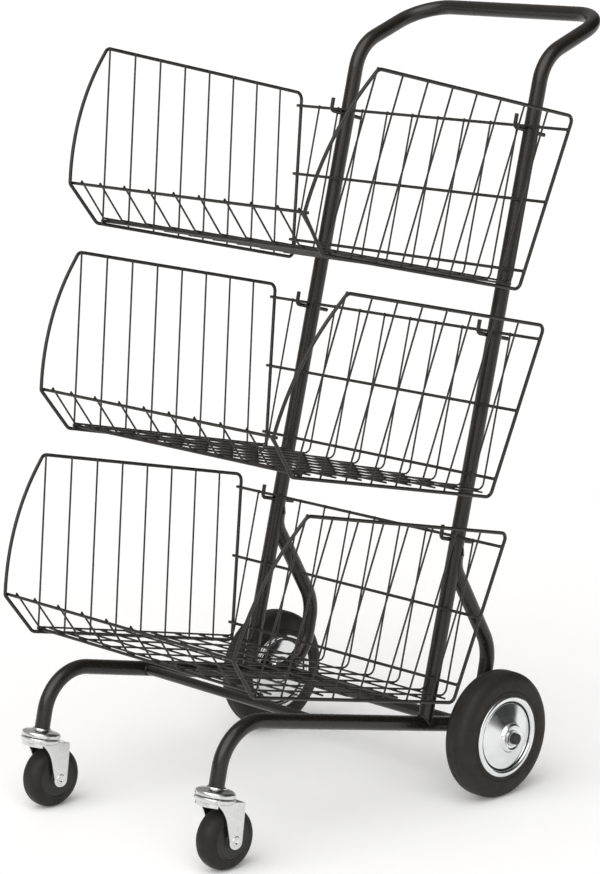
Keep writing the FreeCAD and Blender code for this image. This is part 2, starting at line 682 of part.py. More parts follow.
def basket_long_wires():
    """Thin wires from the front lip along the floor and up the back, inside the rails."""
    lip_top = LIP_CORNER + LIP_INWARD * (LAP + STACK) + LIP_DOWN * (LIP_RAIL_IN - LIP_WIRE_END)
    lip_run = (FLOOR_WIRE_Z - lip_top.z) / LIP_DOWN.z
    points = [lip_top, lip_top + LIP_DOWN * lip_run, back_point(FLOOR_WIRE_Z, STACK),
              back_point(BACK_WIRE_END, STACK)]
    wire = rod(points, THIN_WIRE_D, (WIRE_BEND_R, BACK_BEND_R))
    wires = []
    for x in long_wire_places():
        copy = wire.copy()
        copy.translate(X_AXIS * x)
        wires.append(copy)
    return group(wires)


def cross_rail(middle, lap=RAIL_LAP):
    """Straight heavy wire across the basket, its ends lapped past the rims."""
    reach = X_AXIS * (half_width(middle.z) + lap)
    return bar(middle - reach, middle + reach, RAIL_WIRE_D)


def basket_back_rails():
    """Hanging rail, middle rail and low rail behind the back wires."""
    heights = (0, -MIDDLE_RAIL_DROP, BASKET_FLOOR_Z + LOW_RAIL_RISE)
    return group([cross_rail(back_point(z, 0)) for z in heights])


def basket_front_rails():
    """Lip rail and floor rail inside the front of the basket."""
    lip = LIP_CORNER + LIP_DOWN * LIP_RAIL_IN + LIP_INWARD * LAP
    floor = LIP_FOOT + Y_AXIS * FLOOR_RAIL_IN + Z_AXIS * LAP
    return group([cross_rail(lip, LIP_RAIL_LAP), cross_rail(floor)])


def hang(shape, tier):
    """Moves a basket piece onto the hooks of its tier."""
    shape = shape.copy()
    middle = on_upright(0, tier_height(tier)) + AHEAD * HANG_OFFSET
    shape.translate(middle + X_AXIS * (TIER_SIDES[tier] * HANG_SHIFT))
    return shape


def all_pieces():
    """Every piece by its name, in the square frame."""
    pieces = {
        "handle_upright_tube": handle_upright_tube(),
        "front_cross_bar": front_cross_bar(),
        "axle_tube": axle_tube(),
        "axle": axle(),
        "wheel_spacers": wheel_spacers(),
        "axle_caps": axle_caps(),
        "caster_sockets": group([caster_socket(side) for side in (-1, 1)]),
    }
    for name, side in (("left", 1), ("right", -1)):
        pieces[f"{name}_base_tube"] = base_tube(side)
        pieces[f"{name}_wheel_tyre"] = wheel_tyre(side)
        pieces[f"{name}_wheel_outer_disc"] = wheel_disc(side, side)
        pieces[f"{name}_wheel_inner_disc"] = wheel_disc(side, -side)
        pieces[f"{name}_wheel_hub"] = wheel_hub(side)
        pieces[f"{name}_wheel_bushes"] = wheel_bushes(side)
        pieces[f"{name}_caster_stem"] = caster_stem(side)
        pieces[f"{name}_caster_cup"] = caster_cup(side)
        pieces[f"{name}_caster_balls"] = caster_balls(side)
        pieces[f"{name}_caster_fork"] = caster_fork(side)
        pieces[f"{name}_caster_axle"] = caster_axle(side)
        pieces[f"{name}_caster_tread"] = caster_tread(side)
        pieces[f"{name}_caster_core"] = caster_core(side)
        pieces[f"{name}_caster_bush"] = caster_bush(side)
    basket = {
        "left_rim": basket_rim(1),
        "right_rim": basket_rim(-1),
        "side_wires": basket_side_wires(),
        "floor_wires": basket_floor_wires(),
        "long_wires": basket_long_wires(),
        "back_rails": basket_back_rails(),
        "front_rails": basket_front_rails(),
    }
    for tier, name in enumerate(TIERS):
        pieces[f"{name}_hook_rods"] = hook_rods(tier)
        for piece, shape in basket.items():
            pieces[f"{name}_basket_{piece}"] = hang(shape, tier)
    return pieces


def main():
    os.makedirs("parts", exist_ok=True)
    for name, shape in all_pieces().items():
        stand(shape).exportStep(f"parts/{name}.step")
        valid = "valid" if shape.isValid() else "NOT VALID"
        print(f"{name}: {len(shape.Solids)} solids, {shape.Volume:.0f} mm3, {valid}")
    print(f"rake {math.degrees(RAKE):.2f} degrees")


main()
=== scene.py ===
# %% [markdown]
# # A mail cart
# The solid model of the cart comes in as a fixed frame: bent tubes, wire baskets, wheels and casters,
# all in metres and already where they belong. This lesson gives every part its finish, rebuilds the
# pressed and moulded pieces with softer forms, adds the welds, and sets up the camera and the light.

# %% Load the frame
import json
import math
import bmesh
import bpy
from mathutils import Matrix, Vector


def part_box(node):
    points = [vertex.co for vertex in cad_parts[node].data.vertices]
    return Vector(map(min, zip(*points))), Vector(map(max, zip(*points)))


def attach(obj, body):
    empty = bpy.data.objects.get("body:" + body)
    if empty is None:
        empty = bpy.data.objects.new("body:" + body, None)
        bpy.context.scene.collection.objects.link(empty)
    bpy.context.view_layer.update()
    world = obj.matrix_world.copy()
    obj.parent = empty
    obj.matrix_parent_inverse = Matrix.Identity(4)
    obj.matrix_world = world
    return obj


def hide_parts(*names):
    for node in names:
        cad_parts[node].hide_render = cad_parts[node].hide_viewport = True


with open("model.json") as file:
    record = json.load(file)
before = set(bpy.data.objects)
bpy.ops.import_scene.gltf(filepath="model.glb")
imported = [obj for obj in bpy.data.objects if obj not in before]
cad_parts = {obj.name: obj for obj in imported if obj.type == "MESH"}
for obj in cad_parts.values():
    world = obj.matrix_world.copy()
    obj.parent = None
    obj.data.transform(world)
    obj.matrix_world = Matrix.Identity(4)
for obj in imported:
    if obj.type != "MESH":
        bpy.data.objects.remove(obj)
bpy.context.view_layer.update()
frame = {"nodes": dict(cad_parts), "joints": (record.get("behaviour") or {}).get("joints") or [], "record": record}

MM = 0.001
SIDES = ("left", "right")
nodes = frame["nodes"]
joints = {joint["name"]: joint for joint in frame["joints"]}

# %% [markdown]
# The cart leans back on its wheels, so its tubes aren't square to the floor. It is easier to think
# along the cart's own directions: sideways, to the rear along the base rails, and up the front legs.
# The swivel joint of a caster gives the upward direction, and a point that is known in both worlds,
# the middle between the two swivels, ties them together.

# %% The cart's own directions
LEG_AHEAD = 337.0       # swivel axis ahead of the uprights' feet
CROWN_UNDER = 96.75     # base of the fork crown under the base rails' centre lines
SIDE = Vector((1, 0, 0))
UP = Vector(joints["left_caster_swivel"]["axis"]).normalized()
REAR = UP.cross(SIDE)


def joint_place(name):
    return Vector(joints[name]["pos_m"])


swivels = [joint_place(f"{side}_caster_swivel") for side in SIDES]
CART_MIDDLE = (swivels[0] + swivels[1]) / 2 + (REAR * LEG_AHEAD + UP * CROWN_UNDER) * MM
HALF_FRAME = (swivels[0] - swivels[1]).length / 2 / MM


def on_cart(x, y, z, start=CART_MIDDLE):
    """A place given in millimetres sideways, to the rear and up the cart."""
    return start + (SIDE * x + REAR * y + UP * z) * MM


print("the cart leans back", round(math.degrees(math.asin(UP.y)), 2), "degrees")

# %% [markdown]
# ## Camera, floor and light
# The camera stands a little higher than the handle and looks at the cart's left front corner. A wide
# lens close by would make the uprights run together, so it stands well back with a long lens. Its
# place, its aim and a slight roll were worked out from points on the cart that show in the picture.

# %% Camera
LENS_PIXELS = 2925.0    # focal length in pixels of the 600 by 874 picture
PICTURE_TALL = 874.0
SENSOR = 36.0
CAMERA_SPOT = Vector((2.562, -2.4855, 1.1893))
CAMERA_AIM = Vector((0.013, -0.0526, 0.4519))
CAMERA_ROLL = math.radians(-0.47)


def add_object(name, data):
    """Puts a camera, a lamp, a mesh or a curve into the scene."""
    item = bpy.data.objects.new(name, data)
    bpy.context.scene.collection.objects.link(item)
    return item


lens = bpy.data.cameras.new("camera")
lens.sensor_width = SENSOR
lens.lens = LENS_PIXELS / PICTURE_TALL * SENSOR
camera = add_object("camera", lens)
look = (CAMERA_AIM - CAMERA_SPOT).to_track_quat("-Z", "Y").to_matrix().to_4x4()
roll = Matrix.Rotation(CAMERA_ROLL, 4, "Z")
camera.matrix_world = Matrix.Translation(CAMERA_SPOT) @ look @ roll
bpy.context.scene.camera = camera
bpy.context.scene.view_settings.view_transform = "Standard"
print("lens", round(lens.lens, 1), "mm")

# %% [markdown]
# Every surface gets a material made of shader nodes. Adding and linking them one by one takes many
# lines, so a few short helpers do it: one for any node, one for arithmetic, and four for what all
# finishes share, which is cloudy noise, a colour and a roughness that follow it, and fine relief.

# %% Shader nodes
NOISE_LOW, NOISE_HIGH = 0.3, 0.7    # cloudy noise hardly leaves this range


def plug(tree, socket, value):
    """Links a socket to the one that feeds it, or sets its plain value."""
    if isinstance(value, bpy.types.NodeSocket):
        tree.links.new(value, socket)
    else:
        socket.default_value = value


def add_node(tree, kind, inputs=None, **settings):
    """Adds a shader node; an input is a value, or the socket that feeds it."""
    node = tree.nodes.new("ShaderNode" + kind)
    for key, value in settings.items():
        setattr(node, key, value)
    for key, value in (inputs or {}).items():
        plug(tree, node.inputs[key], value)
    return node


def reckon(tree, operation, *terms):
    """One step of arithmetic."""
    return add_node(tree, "Math", dict(enumerate(terms)), operation=operation).outputs["Value"]


def feed(tree, shader, **sockets):
    """Plugs values into the shader's inputs; their names have blanks for the underscores."""
    for name, value in sockets.items():
        plug(tree, shader.inputs[name.replace("_", " ")], value)


def start_finish(name):
    """A new material with its node tree, its shader and the piece's own coordinates."""
    finish = bpy.data.materials.new(name)
    finish.use_nodes = True
    tree = finish.node_tree
    coords = add_node(tree, "TexCoord").outputs["Object"]
    return finish, tree, tree.nodes["Principled BSDF"], coords


# %% What the finishes share


def mottle(tree, coords, scale, detail=3.0):
    """Cloudy noise from 0 to 1; the scale is in patches to the metre."""
    inputs = {"Vector": coords, "Scale": scale, "Detail": detail}
    return add_node(tree, "TexNoise", inputs).outputs["Fac"]


def between(tree, factor, low, high, start=NOISE_LOW, end=NOISE_HIGH):
    """A colour that runs from low to high as the factor goes from start to end."""
    ramp = add_node(tree, "ValToRGB", {"Fac": factor})
    for stop, place, colour in zip(ramp.color_ramp.elements, (start, end), (low, high)):
        stop.position = place
        stop.color = (*colour, 1.0)
    return ramp.outputs["Color"]


def spread(tree, factor, low, high, start=NOISE_LOW, end=NOISE_HIGH):
    """A number that runs from low to high as the factor goes from start to end."""
    inputs = {"Value": factor, "From Min": start, "From Max": end, "To Min": low, "To Max": high}
    return add_node(tree, "MapRange", inputs).outputs["Result"]


def blend(tree, factor, low, high):
    """One colour at a factor of 0, the other at 1."""
    inputs = {"Fac": factor, "Color1": low, "Color2": high}
    return add_node(tree, "MixRGB", inputs).outputs["Color"]


def grain(tree, height, depth_mm, strength):
    """Fine relief of a depth in millimetres."""
    inputs = {"Height": height, "Distance": depth_mm * MM, "Strength": strength}
    return add_node(tree, "Bump", inputs).outputs["Normal"]


# %% [markdown]
# The floor is a plain white sheet that runs far behind the cart, so that it is the background as
# well. Lamps alone leave it light grey, and brighter lamps would bleach the cart. So a faint glow
# lifts it to paper white, but only where the camera or a reflection sees it: the glow lights
# nothing, and the soft shadow stays.

# %% Floor
FLOOR_SIZE = 120.0
FLOOR_GLOW = 0.12       # lift of the floor where it is seen
PAPER_DARK = (0.94, 0.94, 0.94)
PAPER_LIGHT = (0.96, 0.96, 0.96)
WHITE = (1.0, 1.0, 1.0, 1.0)


def floor_white():
    finish, tree, shader, coords = start_finish("floor_white")
    paper = between(tree, mottle(tree, coords, 3.0), PAPER_DARK, PAPER_LIGHT)
    ray = add_node(tree, "LightPath").outputs
    seen = ray["Is Camera Ray"]
    for way in ("Is Glossy Ray", "Is Transmission Ray"):
        seen = reckon(tree, "MAXIMUM", seen, ray[way])
    glow = reckon(tree, "MULTIPLY", seen, FLOOR_GLOW)
    feed(tree, shader, Base_Color=paper, Roughness=0.9, Specular_IOR_Level=0.0,
         Emission_Color=WHITE, Emission_Strength=glow)
    return finish


sheet = bmesh.new()
bmesh.ops.create_grid(sheet, x_segments=1, y_segments=1, size=FLOOR_SIZE / 2)
floor_mesh = bpy.data.meshes.new("floor")
sheet.to_mesh(floor_mesh)
sheet.free()
floor_mesh.materials.append(floor_white())
floor = add_object("floor", floor_mesh)
print("floor", FLOOR_SIZE, "m across")

# %% [markdown]
# Plated parts show what is round them more than their own colour. A white sky alone would make the
# wheel discs vanish in the background, so the sky is a plain grey with one dark patch behind the
# cart, for the discs to reflect, and a low white band along the horizon, for views from low down.

# %% Sky
SKY_GREY = (0.40, 0.39, 0.38)
SKY_DARK = (0.05, 0.05, 0.05)
DARK_WAY = Vector((0.45, 0.85, 0.27)).normalized()
DARK_FROM, DARK_FULL = 0.6, 0.8     # cosines of the angles off that way
BAND_TOP = 0.04                     # sine of the white band's height over the horizon
BAND_FADE = 0.03

world = bpy.data.worlds.new("studio")
world.use_nodes = True
bpy.context.scene.world = world
sky = world.node_tree
heading = add_node(sky, "TexCoord").outputs["Generated"]
toward = add_node(sky, "VectorMath", {0: heading, 1: DARK_WAY}, operation="DOT_PRODUCT")
studio = between(sky, toward.outputs["Value"], SKY_GREY, SKY_DARK, DARK_FROM, DARK_FULL)
height = add_node(sky, "SeparateXYZ", {"Vector": heading}).outputs["Z"]
over_band = spread(sky, height, 0.0, 1.0, BAND_TOP, BAND_TOP + BAND_FADE)
backdrop = sky.nodes["Background"]
feed(sky, backdrop, Color=blend(sky, over_band, WHITE, studio), Strength=1.0)
print("sky of", len(sky.nodes), "nodes")

# %% [markdown]
# The picture has no hard shadow, so the lamps have to be large. A sun lamp seen under a wide angle
# does what a whole row of soft boxes would, and needs no place. The key comes from the front and
# above, and a weaker fill comes from the side of the camera.

# %% Lamps
SUN_SOFT = math.radians(70)


def add_sun(name, strength, aim):
    lamp = bpy.data.lights.new(name, "SUN")
    lamp.energy = strength
    lamp.angle = SUN_SOFT
    add_object(name, lamp).rotation_euler = Vector(aim).to_track_quat("-Z", "Y").to_euler()
    print(name, "of strength", strength)


add_sun("key_sun", 2.1, (-0.25, 0.7, -1.0))
add_sun("fill_sun", 0.6, (-0.8, 0.75, -0.55))

# %% [markdown]
# ## Finishes
# The tubes and wires carry a dark bronze stove enamel: nearly black, a little warm, with a soft gloss,
# a slight orange peel and cloudy differences in the film. The tyres are matt rubber. Each finish reads
# the piece's own coordinates, so it stays put when a wheel turns, which a painted image on unwrapped
# faces would do as well, but with more work.

# %% Enamel and rubber
SHEEN_SPAN = 0.12       # how far the gloss of the enamel varies


def enamel(name, dark, light, gloss):
    finish, tree, shader, coords = start_finish(name)
    colour = between(tree, mottle(tree, coords, 14.0, detail=5.0), dark, light)
    sheen = spread(tree, mottle(tree, coords, 60.0), gloss, gloss + SHEEN_SPAN)
    peel = grain(tree, mottle(tree, coords, 900.0, detail=1.0), depth_mm=0.06, strength=0.35)
    feed(tree, shader, Base_Color=colour, Roughness=sheen, Normal=peel, Specular_IOR_Level=0.45)
    return finish


def rubber(name, dark, light):
    finish, tree, shader, coords = start_finish(name)
    colour = between(tree, mottle(tree, coords, 35.0, detail=6.0), dark, light)
    sheen = spread(tree, mottle(tree, coords, 120.0), 0.5, 0.68)
    skin = grain(tree, mottle(tree, coords, 1600.0, detail=2.0), depth_mm=0.08, strength=0.5)
    feed(tree, shader, Base_Color=colour, Roughness=sheen, Normal=skin, Specular_IOR_Level=0.3)
    return finish


# %% [markdown]
# The wheel discs are bright plated and spun, so they carry very fine rings about the axle. A wave
# texture in rings makes them, centred on the axle by a mapping node. The narrow gap inside the rolled
# edge gets painted shade, a dark line whose place the distance from the axle tells. The casters are
# zinc plated, with the faint crystals that zinc has, which are the cells of a Voronoi texture.

# %% Spun plate
GAP_R = 42.9            # narrow gap inside the rolled edge of a disc
# Painted shade in the disc's gap: the distances at which it is full and where it fades out, then its dark colour.
SHADE_FULL, SHADE_END = 0.7, 1.2      # distances from the middle of the gap
GAP_SHADE_COLOUR = (0.05, 0.048, 0.042, 1.0)
PLATE_DARK = (0.74, 0.75, 0.76)
PLATE_LIGHT = (0.84, 0.85, 0.86)
ACROSS_AXLE = (0.0, 1.0, 1.0)
RINGS_TO_METRE = 420.0


def painted_gap_shade(tree, centred):
    """Mask of the painted shade: 1 in the gap of a disc and 0 away from it."""
    inputs = {0: centred, 1: ACROSS_AXLE}
    flat = add_node(tree, "VectorMath", inputs, operation="MULTIPLY").outputs["Vector"]
    radius = add_node(tree, "VectorMath", {0: flat}, operation="LENGTH").outputs["Value"]
    off = reckon(tree, "ABSOLUTE", reckon(tree, "SUBTRACT", radius, GAP_R * MM))
    return spread(tree, off, 1.0, 0.0, SHADE_FULL * MM, SHADE_END * MM)


def spun_plate(name, axle):
    """Bright plating with the fine rings of a spun disc about the axle, and painted shade in its gap."""
    finish, tree, shader, coords = start_finish(name)
    shift = {"Vector": coords, "Location": (0.0, -axle.y, -axle.z)}
    centred = add_node(tree, "Mapping", shift).outputs["Vector"]
    wave = {"Vector": centred, "Scale": RINGS_TO_METRE, "Distortion": 2.0}
    rings = add_node(tree, "TexWave", wave, wave_type="RINGS", rings_direction="X")
    unshaded_plate = between(tree, mottle(tree, coords, 40.0), PLATE_DARK, PLATE_LIGHT)
    # The gap of the disc is darkened with painted shade.
    colour = blend(tree, painted_gap_shade(tree, centred), unshaded_plate, GAP_SHADE_COLOUR)
    sheen = spread(tree, mottle(tree, coords, 90.0, detail=5.0), 0.09, 0.2)
    lines = grain(tree, rings.outputs["Fac"], depth_mm=0.02, strength=0.25)
    feed(tree, shader, Base_Color=colour, Roughness=sheen, Normal=lines, Metallic=1.0)
    return finish


# %% Zinc and plastic
ZINC_SPAN = 0.08        # how far the gloss of the zinc varies
CRYSTALS_TO_METRE = 300.0


def zinc(name, dark, light, rough):
    """Zinc plate: a dull silver with faint crystals."""
    finish, tree, shader, coords = start_finish(name)
    cells = {"Vector": coords, "Scale": CRYSTALS_TO_METRE}
    crystals = add_node(tree, "TexVoronoi", cells).outputs["Distance"]
    colour = between(tree, crystals, dark, light, start=0.1, end=0.8)
    sheen = spread(tree, mottle(tree, coords, 90.0, detail=4.0), rough, rough + ZINC_SPAN)
    skin = grain(tree, mottle(tree, coords, 500.0, detail=2.0), depth_mm=0.02, strength=0.15)
    feed(tree, shader, Base_Color=colour, Roughness=sheen, Normal=skin, Metallic=1.0)
    return finish


def moulded(name, dark, light):
    """Moulded plastic with a faint grain."""
    finish, tree, shader, coords = start_finish(name)
    colour = between(tree, mottle(tree, coords, 80.0), dark, light)
    sheen = spread(tree, mottle(tree, coords, 200.0), 0.4, 0.55)
    skin = grain(tree, mottle(tree, coords, 1200.0), depth_mm=0.03, strength=0.4)
    feed(tree, shader, Base_Color=colour, Roughness=sheen, Normal=skin)
    return finish


# %% Give every solid its finish
axle = joint_place("left_wheel_roll")
finishes = {
    "frame_paint": enamel("bronze_enamel", (0.0085, 0.0066, 0.0049), (0.015, 0.0122, 0.0096), 0.20),
    "wire_paint": enamel("wire_enamel", (0.009, 0.0072, 0.0055), (0.016, 0.0132, 0.0105), 0.30),
    "cap_black": enamel("black_cap", (0.008, 0.008, 0.008), (0.014, 0.014, 0.0135), 0.36),
    "wheel_rubber": rubber("tyre_rubber", (0.0142, 0.0122, 0.0098), (0.0238, 0.0205, 0.0165)),
    "caster_rubber": rubber("caster_rubber", (0.010, 0.0092, 0.0082), (0.018, 0.0165, 0.0148)),
    "disc_chrome": spun_plate("spun_bright_plate", axle),
    "axle_steel": zinc("turned_steel", (0.50, 0.50, 0.51), (0.60, 0.60, 0.61), 0.25),
    "caster_zinc": zinc("zinc_plate", (0.66, 0.67, 0.66), (0.73, 0.74, 0.73), 0.17),
    "ball_steel": zinc("ball_steel", (0.66, 0.66, 0.67), (0.72, 0.72, 0.73), 0.12),
    "bush_plastic": moulded("bush_plastic", (0.62, 0.60, 0.54), (0.72, 0.70, 0.64)),
    "core_plastic": moulded("core_plastic", (0.008, 0.0075, 0.007), (0.014, 0.0132, 0.0122)),
}
slot_of = {part["node"]: part["material_slot"] for part in frame["record"]["subparts"]}
for name, solid in nodes.items():
    solid.data.materials.clear()
    solid.data.materials.append(finishes[slot_of[name]])
print("finishes:", sorted(finishes))

# %% [markdown]
# ## Round pieces
# Tyres, discs, cups and rivets are all bodies of revolution. The outline of half a section is drawn as
# a few corners, each corner is rounded with a bevel, and the outline is spun once round the axis. This
# gives every edge its own rounding, which a bevel of the finished solid couldn't. A corner is written
# as its place along the axis, its radius and how much it is rounded, in millimetres.

# %% Outlines and pieces
ROUND_STEPS = 6
SHARP_ANGLE = math.radians(32)


def outline_edges(shape, places, roundings):
    """A closed chain of edges through the places, with its corners rounded."""
    corners = [shape.verts.new(place) for place in places]
    for pair in zip(corners, corners[1:] + corners[:1]):
        shape.edges.new(pair)
    for corner, rounding in zip(corners, roundings):
        if rounding:
            bmesh.ops.bevel(shape, geom=[corner], offset=rounding * MM, offset_type="OFFSET",
                            segments=ROUND_STEPS, profile=0.5, affect="VERTICES", material=-1)


def join_shape(shape, part):
    """Adds one bmesh to another."""
    mesh = bpy.data.meshes.new("joined")
    part.to_mesh(mesh)
    part.free()
    shape.from_mesh(mesh)
    bpy.data.meshes.remove(mesh)


def as_piece(name, shape):
    """Turns a finished bmesh into an object at the origin, smooth but for its sharp edges."""
    mesh = bpy.data.meshes.new(name)
    shape.to_mesh(mesh)
    shape.free()
    mesh.shade_smooth()
    mesh.set_sharp_from_angle(angle=SHARP_ANGLE)
    return add_object(name, mesh)


def dress(piece, body, slot, *solids):
    """Paints a piece, lets it ride on a body and hides the solids that it stands for."""
    piece.data.materials.append(finishes[slot])
    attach(piece, body)
    if solids:
        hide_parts(*solids)
    print(piece.name, "on", body)


# %% Spinning an outline
SPIN_STEPS = 96
MERGE = 0.001


def spin_outline(shape, outline, centre, axis, out):
    """Spins (along, radius, rounding) corners once round an axis through the centre."""
    places = [centre + (axis * along + out * radius) * MM for along, radius, _ in outline]
    section = bmesh.new()
    outline_edges(section, places, [corner[2] for corner in outline])
    bmesh.ops.spin(section, geom=section.verts[:] + section.edges[:], cent=centre, axis=axis,
                   dvec=(0, 0, 0), angle=math.tau, steps=SPIN_STEPS, use_merge=True)
    bmesh.ops.remove_doubles(section, verts=section.verts, dist=MERGE * MM)
    bmesh.ops.recalc_face_normals(section, faces=section.faces)
    join_shape(shape, section)


def spun_piece(name, outline, centre, axis, out):
    """A piece of one spun outline."""
    shape = bmesh.new()
    spin_outline(shape, outline, centre, axis, out)
    return as_piece(name, shape)


def both_halves(half):
    """A whole section from a function that draws the half on one side."""
    return half(1) + half(-1)[::-1]


print("a full turn takes", SPIN_STEPS, "steps")

# %% [markdown]
# ## Rear wheels
# The tyre is a solid rubber ring with well rounded shoulders, a fine groove round each side and two
# lines round the tread. A torus would be round all over; a spun outline keeps the flat sides.

# %% Tyres
TYRE_HALF = 18.0
TYRE_R = 80.0
TYRE_BORE_R = 46.0
TYRE_SHOULDER = 14.0
SIDE_GROOVE_R = 56.5    # groove round each side
TREAD_LINE = 5.0        # lines round the tread, either side of the middle
GROOVE = 0.8            # depth and half width of a groove


def tyre_half(sign):
    """One half of the tyre's section, from the bore to the middle of the tread."""
    face = TYRE_HALF * sign
    deep = (TYRE_HALF - GROOVE) * sign
    line = TREAD_LINE * sign
    half = GROOVE * sign
    return [
        (face, TYRE_BORE_R, 0.5),
        (face, SIDE_GROOVE_R - GROOVE, 0.3),
        (deep, SIDE_GROOVE_R, 0.3),
        (face, SIDE_GROOVE_R + GROOVE, 0.3),
        (face, TYRE_R, TYRE_SHOULDER),
        (line + half, TYRE_R, 0.25),
        (line, TYRE_R - GROOVE, 0.25),
        (line - half, TYRE_R, 0.25),
    ]


tyre_outline = both_halves(tyre_half)
for side in SIDES:
    tyre = spun_piece(f"{side}_tyre", tyre_outline, joint_place(f"{side}_wheel_roll"), SIDE, UP)
    dress(tyre, f"{side}_wheel", "wheel_rubber", f"{side}_wheel_tyre")

# %% [markdown]
# A pressed disc closes each face of a wheel: a bright rolled edge lies over the tyre, a narrow gap
# follows, and a shallow cone rises to the boss, a rounded shoulder round a flat face. The reflections
# bend at each of these forms, so they are in the outline and not in a relief texture.

# %% Wheel discs
RIM_FACE = 18.05        # back of the rolled edge, on the tyre's side
RIM_ROLL = 2.0          # thickness of the rolled edge
RIM_EDGE_R = 51.5
SEAT_R = 45.95
SHEET = 2.0
VALLEY = 14.0           # floor of the gap from the middle of the wheel
CONE_EDGE = 17.2        # outer edge of the cone
BOSS_R = 18.0
BOSS_DIP = 1.5          # flat face of the boss under its shoulder
BOSS_BACK = 6.5         # back of the sheet behind the shoulder
COLLAR_R = 10.05
BOSS_OUT = {"outer": 29.0, "inner": 21.0}


def disc_outline(boss):
    """Section of a pressed disc, from the collar out over the cone to the rolled edge and back."""
    return [
        (boss - BOSS_DIP, COLLAR_R, 0.3),               # flat face
        (boss - BOSS_DIP, BOSS_R - 5.0, 0.5),
        (boss, BOSS_R - 3.5, 1.0),                      # shoulder
        (boss, BOSS_R - 2.0, 1.0),
        (boss - 2.5, BOSS_R + 0.2, 1.0),
        (boss - 4.5, BOSS_R + 1.0, 1.2),                # cone
        (CONE_EDGE, SEAT_R - 4.2, 0.7),
        (VALLEY, SEAT_R - 3.7, 0.5),                    # gap
        (VALLEY, SEAT_R - SHEET, 0.5),
        (RIM_FACE, SEAT_R - SHEET, 1.2),                # rolled edge
        (RIM_FACE + RIM_ROLL, SEAT_R, 1.5),
        (RIM_FACE + RIM_ROLL, RIM_EDGE_R - 2.2, 1.6),
        (RIM_FACE + 0.6, RIM_EDGE_R, 0.5),
        (RIM_FACE, RIM_EDGE_R, 0.2),
        (RIM_FACE, SEAT_R, 0.8),                        # back of the sheet
        (VALLEY - SHEET, SEAT_R, 1.0),
        (VALLEY - SHEET, SEAT_R - 5.6, 1.0),
        (boss - BOSS_BACK, BOSS_R + 1.0, 1.0),
        (boss - BOSS_BACK, COLLAR_R, 0.3),
    ]


for side, sign in zip(SIDES, (1, -1)):
    for face, facing in (("outer", sign), ("inner", -sign)):
        disc = spun_piece(f"{side}_{face}_disc", disc_outline(BOSS_OUT[face]),
                          joint_place(f"{side}_wheel_roll"), SIDE * facing, UP)
        dress(disc, f"{side}_wheel", "disc_chrome", f"{side}_wheel_{face}_disc")

# %% [markdown]
# ## Casters
# Each caster has a domed cup with a short neck fixed under the leg, a thin slit, and a crown ring that
# turns below it. Cup and crown have a groove for the balls on their hidden faces. The cup is round
# all over, so it is spun like the wheels, but about the leaning axis of the swivel.

# %% Swivel cup
HEAD_R = 24.5
DOME_R = 21.6           # where the dome bends down to the side
CUP_BASE = 8.2          # from the base of the crown
CUP_TOP = 16.7
RACE_IN = 14.2
RACE_OUT = 19.8
RACE_TOP = 10.4
STEM_R = 5.55
NECK_R = 11.5           # neck round the foot of the leg
NECK_IN = 9.7
NECK_HIGH = 2.0
cup_outline = [
    (CUP_TOP, STEM_R, 0.2),
    (CUP_TOP, NECK_IN, 0.0),
    (CUP_TOP + NECK_HIGH, NECK_IN, 0.3),
    (CUP_TOP + NECK_HIGH, NECK_R, 0.7),
    (CUP_TOP + 0.1, NECK_R + 0.5, 0.6),
    (CUP_TOP - 0.3, NECK_R + 3.0, 1.5),
    (CUP_TOP - 1.4, DOME_R, 2.6),
    (CUP_TOP - 3.8, HEAD_R, 1.8),
    (CUP_BASE + 0.6, HEAD_R, 0.5),
    (CUP_BASE, HEAD_R - 0.9, 0.3),
    (CUP_BASE, RACE_OUT, 0.0),
    (RACE_TOP, RACE_OUT, 0.0),
    (RACE_TOP, RACE_IN, 0.0),
    (CUP_BASE, RACE_IN, 0.0),
    (CUP_BASE, STEM_R, 0.0),
]
for side in SIDES:
    swivel = joint_place(f"{side}_caster_swivel")
    cup = spun_piece(f"{side}_swivel_cup", cup_outline, swivel, UP, SIDE)
    dress(cup, "frame", "caster_zinc", f"{side}_caster_cup")

# %% [markdown]
# The fork is pressed from one sheet: a crown ring, a plate, a front skirt and two tapered legs, each
# stiffened by a shallow rib. Each form is built by the way that suits it and then joined to the
# others. A leg starts as one flat face; its rib is an inset that is raised, and the sheet gets its
# thickness last, so that the rib shows on both sides as it does in pressed metal.

# %% Legs of a fork
FORK_HALF = 19.2        # outer faces of the legs
FORK_SHEET = 2.4
PLATE_TOP = 4.4         # fork plate over the base of the crown
LEG_FRONT = -17.0
LEG_BACK = 31.0
TRAIL = 25.5
AXLE_DROP = 41.6        # wheel axle under the base of the crown
TIP_R = 10.0
TIP_ROUND = 9.7
RIB_IN = 5.0            # rib in from the leg's edge
RIB_SLOPE = 1.4
RIB_HIGH = 1.1
LEG_SOFT = 0.4          # rounding of the sheet's edges
leg_outline = [
    (LEG_FRONT, PLATE_TOP, 1.0),
    (LEG_BACK, PLATE_TOP, 1.0),
    (LEG_BACK + 1.5, -8.0, 5.0),
    (TRAIL + TIP_R, -AXLE_DROP, 2.0),
    (TRAIL + TIP_R, -AXLE_DROP - TIP_R, TIP_ROUND),
    (TRAIL - TIP_R, -AXLE_DROP - TIP_R, TIP_ROUND),
    (TRAIL - TIP_R, -AXLE_DROP, 2.0),
    (3.0, -11.0, 10.0),
]


def round_edges(shape, size_mm, least=math.radians(50)):
    """Softens every edge that is sharper than an angle."""
    inner = [edge for edge in shape.edges if len(edge.link_faces) == 2]
    sharp = [edge for edge in inner if edge.calc_face_angle() > least]
    bmesh.ops.bevel(shape, geom=sharp, offset=size_mm * MM, offset_type="OFFSET", segments=2,
                    profile=0.5, affect="EDGES", material=-1, clamp_overlap=True)


